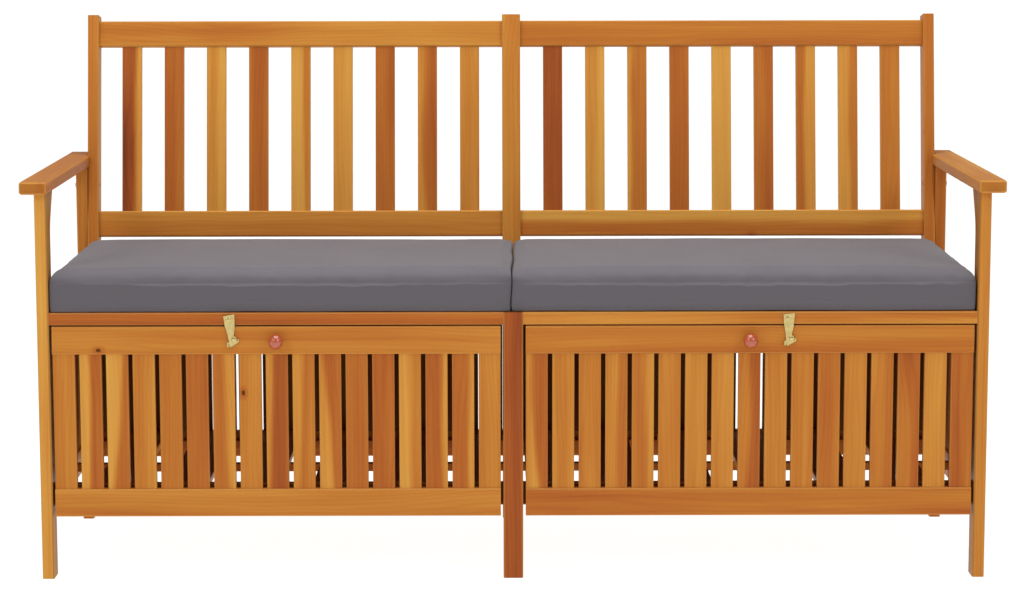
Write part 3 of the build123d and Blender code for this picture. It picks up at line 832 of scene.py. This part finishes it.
canvas = {
    "warp": (0.186, 0.172, 0.191),
    "weft": (0.150, 0.139, 0.154),
    "cloud": (0.134, 0.124, 0.137),
    # painted shade for the walls, which are darker than the top
    "wall": (0.106, 0.096, 0.107),
    "stitch": (0.055, 0.050, 0.055),
    "thread": 0.0011,
    "stitchLength": 0.004,
    "stitchEnds": 0.2,  # softness of each stitch's ends
    "seamLine": (0.0003, 0.0012),
    "slubScale": (90.0, 700.0, 700.0),
    "cloudScale": 9.0,
    "cloudDetail": 3.0,
    "clouds": (0.35, 0.70),
    "topFacing": (0.55, 0.80),
    "endFacing": (0.62, 0.80),
    "wallFacing": (0.15, 0.75),
    "weaveTone": 0.7,
    "slubTone": 0.3,
    "cloudTone": 0.3,
    "wallTone": 0.85,
    "seamTone": 0.15,
    "relief": {"weave": 0.8, "slub": 0.4, "stitch": 0.4, "seam": 0.3},
    "bump": 0.35,
    "bumpDepth": 0.0004,
    "sheen": {"Sheen Weight": 0.2, "Sheen Roughness": 0.5, "Specular IOR Level": 0.2},
    "roughness": 0.82,
    "slubRoughness": 0.1,
}


def canvasMaterial(name, seamHeight):
    shade = Shade(name)
    x, y, z = shade.xyz(shade.coords)
    facing = [abs(part) for part in shade.xyz(shade.facing)]
    top = facing[2].step(*canvas["topFacing"])
    end = facing[0].step(*canvas["endFacing"])
    first = x + (y - x) * end  # threads run along the pad, and up its walls
    second = z + (y - z) * top
    turns = 2.0 * pi / canvas["thread"]
    weave = (first * turns).wave() * (second * turns).wave() * 0.5 + 0.5
    slub = shade.drawnGrain((x, y, z), canvas["slubScale"])
    cloud = shade.grain(shade.coords, canvas["cloudScale"], canvas["cloudDetail"])
    seam = 1.0 - abs(z - seamHeight).step(*canvas["seamLine"])
    stitches = (first * (2.0 * pi / canvas["stitchLength"])).wave()
    stitch = stitches.step(-canvas["stitchEnds"], canvas["stitchEnds"])

    threads = weave * canvas["weaveTone"] + slub * canvas["slubTone"]
    cloudy = cloud.step(*canvas["clouds"]) * canvas["cloudTone"]
    # painted shade: the walls of the pad are darker than its top
    wall = (1.0 - facing[2].step(*canvas["wallFacing"])) * canvas["wallTone"]
    colour = shade.blend(threads, canvas["weft"], canvas["warp"])
    colour = shade.blend(cloudy, colour, canvas["cloud"])
    colour = shade.blend(wall, colour, canvas["wall"])
    colour = shade.blend(seam * canvas["seamTone"], colour, canvas["stitch"])
    relief = canvas["relief"]
    raised = weave * relief["weave"] + slub * relief["slub"]
    return shade.finish(
        canvas["sheen"],
        height=raised - seam * (stitch * relief["stitch"] + relief["seam"]),
        bump=canvas["bump"],
        depth=canvas["bumpDepth"],
        Base_Color=colour,
        Roughness=slub * canvas["slubRoughness"] + canvas["roughness"],
    )


def cloudTexture(name, size):
    texture = bpy.data.textures.new(name, "CLOUDS")
    texture.noise_scale = size
    texture.noise_depth = 1
    return texture


puckerTexture = cloudTexture("pucker", pad["puckerSize"])
waveTexture = cloudTexture("wave", pad["waveSize"])


def limited(value, low, high):
    return min(max(value, low), high)


def joinSway(y, z):
    # how the joint between the two pads wanders from the rear down to the front, the same for both
    (rear, depth), (top, height) = pad["swayRear"], pad["swayTop"]
    onTop, onFront = pad["swayShare"]
    way = (rear - y) / depth * onTop + (top - z) / height * onFront
    (bend, bendTurns), (ripple, rippleTurns) = pad["swayBend"], pad["swayRipple"]
    return pad["sway"] * (bend * cos(bendTurns * way) + ripple * sin(rippleTurns * way))


def padBlock(side, low, high, outer, inner):
    # a box with rounded rear corners and edges, in small faces
    top, near, segments = low.z + pad["top"], pad["near"], pad["segments"]
    halfHeight = (low.z + top) / 2
    deselectAll()
    bpy.ops.mesh.primitive_cube_add(
        size=1.0, location=((outer + inner) / 2, (low.y + high.y) / 2, halfHeight)
    )
    piece = bpy.context.object
    piece.name = side + "_seat_pad"
    piece.scale = (abs(outer - inner), high.y - low.y, pad["top"])
    bpy.ops.object.transform_apply(location=True, rotation=True, scale=True)
    for end, corner in ((outer, pad["outerCorner"]), (inner, pad["innerCorner"])):
        atCorner = Vector((end, high.y, halfHeight))
        roundEdges(piece, lambda co: (co - atCorner).length < near, corner, segments["corner"])
    roundEdges(piece, lambda co: co.z > top - near, pad["edge"], segments["edge"])
    roundEdges(piece, lambda co: co.z < low.z + near, pad["foot"], segments["foot"])
    piece.data.remesh_voxel_size = pad["voxel"]
    makeActive(piece)
    bpy.ops.object.voxel_remesh()
    return piece


def domeTop(piece, low, high, outer, inner):
    # the filling domes the top a little and rolls it down to the walls
    shoulder, top = pad["shoulder"], low.z + pad["top"]
    sign = 1.0 if inner > outer else -1.0
    for vertex in piece.data.vertices:
        co = vertex.co
        acrossPad = (co.x - outer) / (inner - outer) * 2.0 - 1.0
        downPad = (co.y - low.y) / (high.y - low.y) * 2.0 - 1.0
        rise = max(0.0, 1.0 - acrossPad ** 4) * max(0.0, 1.0 - downPad ** 4)
        fromEdge = min(co.y - low.y, high.y - co.y, (co.x - outer) * sign)
        short = shoulder - limited(fromEdge, 0.0, shoulder)
        drop = shoulder - sqrt(shoulder ** 2 - short ** 2)
        share = max(0.0, (co.z - top) / (2.0 * shoulder) + 1.0)
        co.z += (pad["crown"] * rise - drop) * share


def inflate(piece):
    # cloth under pressure from inside, with a limit on how far a point moves
    start = [(vertex.co.copy(), vertex.normal.copy()) for vertex in piece.data.vertices]
    makeActive(piece)
    bpy.ops.object.modifier_add(type="CLOTH")
    cloth = piece.modifiers[-1]
    cloth.settings.use_pressure = True
    cloth.settings.uniform_pressure_force = pad["pressure"]
    cloth.settings.effector_weights.gravity = 0.0
    cloth.point_cache.frame_end = pad["frames"]
    for number in range(1, pad["frames"] + 1):
        bpy.context.scene.frame_set(number)
    bpy.ops.object.modifier_apply(modifier=cloth.name)
    bpy.context.scene.frame_set(1)
    for vertex, (begun, outward) in zip(piece.data.vertices, start):
        moved = vertex.co - begun
        most = pad["swell"] if moved.dot(outward) > 0.0 else pad["sink"]
        if moved.length > most:
            vertex.co = begun + moved * (most / moved.length)


def crease(piece):
    # creases gather where the top turns into the walls, and the filling is uneven
    edges = piece.vertex_groups.new(name="edges")
    upward, spread = pad["puckerTurn"]
    for vertex in piece.data.vertices:
        turn = 1.0 - abs(abs(vertex.normal.z) - upward) / spread
        edges.add([vertex.index], limited(turn, 0.0, 1.0), "REPLACE")
    ripple = {"texture_coords": "LOCAL", "mid_level": 0.5}
    apply(
        piece, "DISPLACE", texture=puckerTexture, strength=pad["pucker"], vertex_group="edges", **ripple
    )
    apply(piece, "DISPLACE", texture=waveTexture, strength=pad["wave"], **ripple)
    piece.vertex_groups.clear()


def sew(piece, seamHeight, low, high, outer, inner):
    # draws the seam in, lets the joint wander and keeps the pad to its place
    normals = [vertex.normal.copy() for vertex in piece.data.vertices]
    for vertex, normal in zip(piece.data.vertices, normals):
        co = vertex.co
        nearSeam = exp(-(((co.z - seamHeight) / pad["seamWidth"]) ** 2))
        co -= normal * (pad["seamDepth"] * nearSeam)
        co.x = limited(co.x, min(outer, inner), max(outer, inner))
        co.x += joinSway(co.y, co.z) * exp(-((co.x / pad["swayWidth"]) ** 2))
        co.z = limited(co.z, low.z, high.z + pad["proudTop"])
        co.y = limited(co.y, low.y - pad["proudFront"], high.y + pad["proudFront"])


def stuffPad(side):
    low, high = (Vector(corner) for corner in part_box(side + "_cushion"))
    if side == "left":
        outer, inner = low.x - pad["outerReach"], high.x + pad["innerReach"]
    else:
        outer, inner = high.x + pad["outerReach"], low.x - pad["innerReach"]
    piece = padBlock(side, low, high, outer, inner)
    domeTop(piece, low, high, outer, inner)
    inflate(piece)
    apply(piece, "SUBSURF", levels=1, render_levels=1)
    crease(piece)
    seamHeight = low.z + pad["top"] - pad["shoulder"]
    sew(piece, seamHeight, low, high, outer, inner)
    makeActive(piece)
    bpy.ops.object.shade_smooth()
    dress(piece, canvasMaterial(side + "_grey_canvas", seamHeight))
    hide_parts(side + "_cushion")
    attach(piece, "frame")
    print(side, "pad stuffed:", len(piece.data.polygons), "faces")


for side in ("left", "right"):
    stuffPad(side)


# studio

studio = {
    "floorSize": 120.0,
    "floorColours": ((0.27, 0.27, 0.27), (0.25, 0.25, 0.25)),
    "floorGlow": 0.96,
    "speckScale": 40.0,
    "skyGlow": 0.38,
    "aim": (0.0, 0.0, 0.4),
    "softboxes": (  # place, size, power
        ((-2.5, -3.1, 2.5), 1.2, 26.0),
        ((2.5, -3.1, 2.5), 1.2, 26.0),
        ((0.0, -0.6, 3.2), 2.4, 58.0),
    ),
    "white": (1.0, 1.0, 1.0, 1.0),
}
deselectAll()
bpy.ops.mesh.primitive_plane_add(size=studio["floorSize"], location=(0.0, 0.0, 0.0))
floor = bpy.context.object
floor.name = "floor"
floorShade = Shade("pale_floor")
speck = floorShade.grain(floorShade.coords, studio["speckScale"])
dress(floor, floorShade.finish(
    {
        "Roughness": 0.8,
        "Specular IOR Level": 0.0,
        "Emission Color": studio["white"],
        "Emission Strength": studio["floorGlow"],
    },
    Base_Color=floorShade.blend(speck, *studio["floorColours"]),
))
for place, size, power in studio["softboxes"]:
    bpy.ops.object.light_add(type="AREA", location=place)
    softbox = bpy.context.object
    softbox.data.size = size
    softbox.data.energy = power
    aim = Vector(studio["aim"]) - Vector(place)
    softbox.rotation_euler = aim.to_track_quat("-Z", "Y").to_euler()
sky = bpy.data.worlds.new("studio_sky")
bpy.context.scene.world = sky
sky.use_nodes = True
sky.node_tree.nodes["Background"].inputs["Color"].default_value = studio["white"]
sky.node_tree.nodes["Background"].inputs["Strength"].default_value = studio["skyGlow"]
bpy.context.scene.view_settings.view_transform = "Standard"
print("studio lit")


# camera

view = {
    "place": (-0.0261, -4.6889, 1.0171),
    "pitch": 8.17,
    "yaw": -0.13,
    "roll": -0.10,
    "lens": 105.14,
    "sensor": 36.0,
    "shift": (0.0039, 0.0342),
}
bpy.ops.object.camera_add(location=view["place"])
camera = bpy.context.object
camera.rotation_euler = (
    Matrix.Rotation(radians(view["yaw"]), 3, "Z")
    @ Matrix.Rotation(radians(90.0 - view["pitch"]), 3, "X")
    @ Matrix.Rotation(radians(view["roll"]), 3, "Z")
).to_euler()
camera.data.lens = view["lens"]
camera.data.sensor_width = view["sensor"]
camera.data.shift_x, camera.data.shift_y = view["shift"]
camera.data.dof.use_dof = False
bpy.context.scene.camera = camera
print("camera placed")
